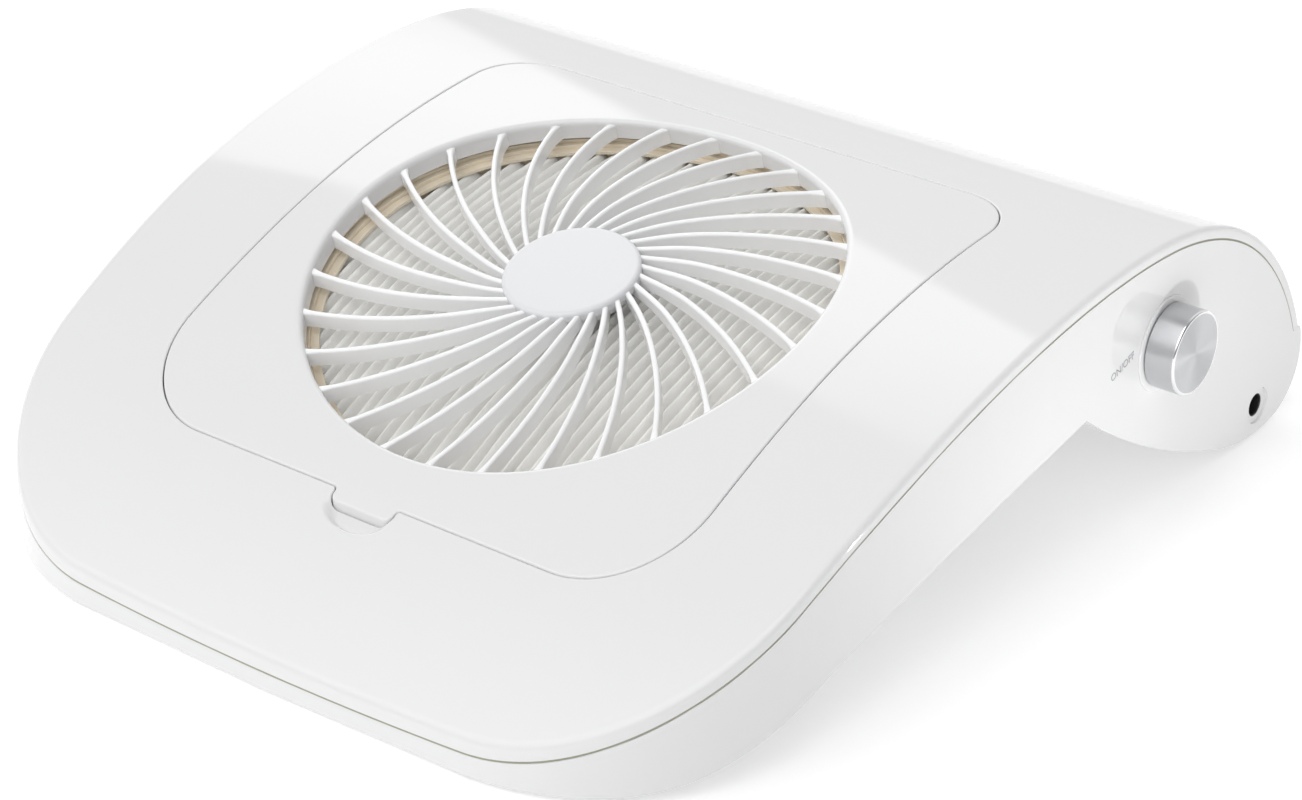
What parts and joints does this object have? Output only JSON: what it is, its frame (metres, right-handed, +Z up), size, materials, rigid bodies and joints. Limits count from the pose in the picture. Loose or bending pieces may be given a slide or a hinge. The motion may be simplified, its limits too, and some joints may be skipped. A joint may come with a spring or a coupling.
{
  "type": "nail dust collector",
  "caption": "Desk-top nail dust collector: arched glossy housing, lift-up lid with a swirl-vane round grille over a pleated filter, axial fan inside and a power knob on the rounded rear end.",
  "frame": {"origin": "middle of the bounding box's footprint, on the desk", "axes": "+X to the end with the knob, +Y to the rounded back, +Z up"},
  "size_m": [0.2264, 0.2492, 0.0692],
  "materials": {
    "gloss_white": "glossy white moulding",
    "tray_plastic": "fine matt moulding",
    "black_plastic": "semi-matt moulding",
    "seam_rubber": "soft matt strip",
    "foam_rubber": "matt",
    "cardboard": "raw laminated board",
    "filter_paper": "fine pleated felt",
    "steel": "bright zinc",
    "magnet": "dark sintered ring",
    "bearing_bronze": "turned",
    "copper_wire": "enamelled winding",
    "circuit_board": "solder mask",
    "component_black": "moulded parts",
    "pot_case": "pressed case",
    "aluminium_knob": "turned sides and spun face",
    "wire_insulation": "PVC"
  },
  "bodies": {
    "housing": {"top_cover": "gloss_white", "lower_housing": "gloss_white", "seam_gasket": "seam_rubber", "filter_frame": "cardboard", "filter_media": "filter_paper", "filter_gasket": "foam_rubber", "filter_tray": "tray_plastic", "fan_screws": "steel", "fan_frame": "black_plastic", "fan_bearings": "bearing_bronze", "fan_core": "steel", "fan_coils": "copper_wire", "fan_board": "circuit_board", "control_board": "circuit_board", "board_parts": "component_black", "board_screws": "steel", "pot_body": "pot_case", "pot_nut": "bearing_bronze", "knob_seat": "gloss_white", "jack_body": "black_plastic", "jack_pin": "bearing_bronze", "fan_lead": "wire_insulation", "jack_lead": "wire_insulation", "housing_screws": "steel", "feet": "foam_rubber"},
    "lid": {"grille_panel": "gloss_white", "centre_cap": "gloss_white"},
    "rotor": {"fan_impeller": "black_plastic", "fan_magnet": "magnet", "fan_shaft": "steel"},
    "power_knob": {"knob": "aluminium_knob", "pot_shaft": "steel"}
  },
  "joints": [
    {"name": "lid_lift", "type": "hinge", "parent": "housing", "child": "lid", "pos_m": [-0.0041, 0.0515, 0.06912], "axis": [-1, 0, 0], "range_deg": [0, 75]},
    {"name": "fan_spin", "type": "hinge", "parent": "housing", "child": "rotor", "pos_m": [-0.0041, -0.0195, 0.0603], "axis": [0, -0.2554, 0.9668], "continuous": true},
    {"name": "knob_turn", "type": "hinge", "parent": "housing", "child": "power_knob", "pos_m": [0.1049, 0.0577, 0.0437], "axis": [-1, 0, 0], "range_deg": [0, 300]}
  ]
}
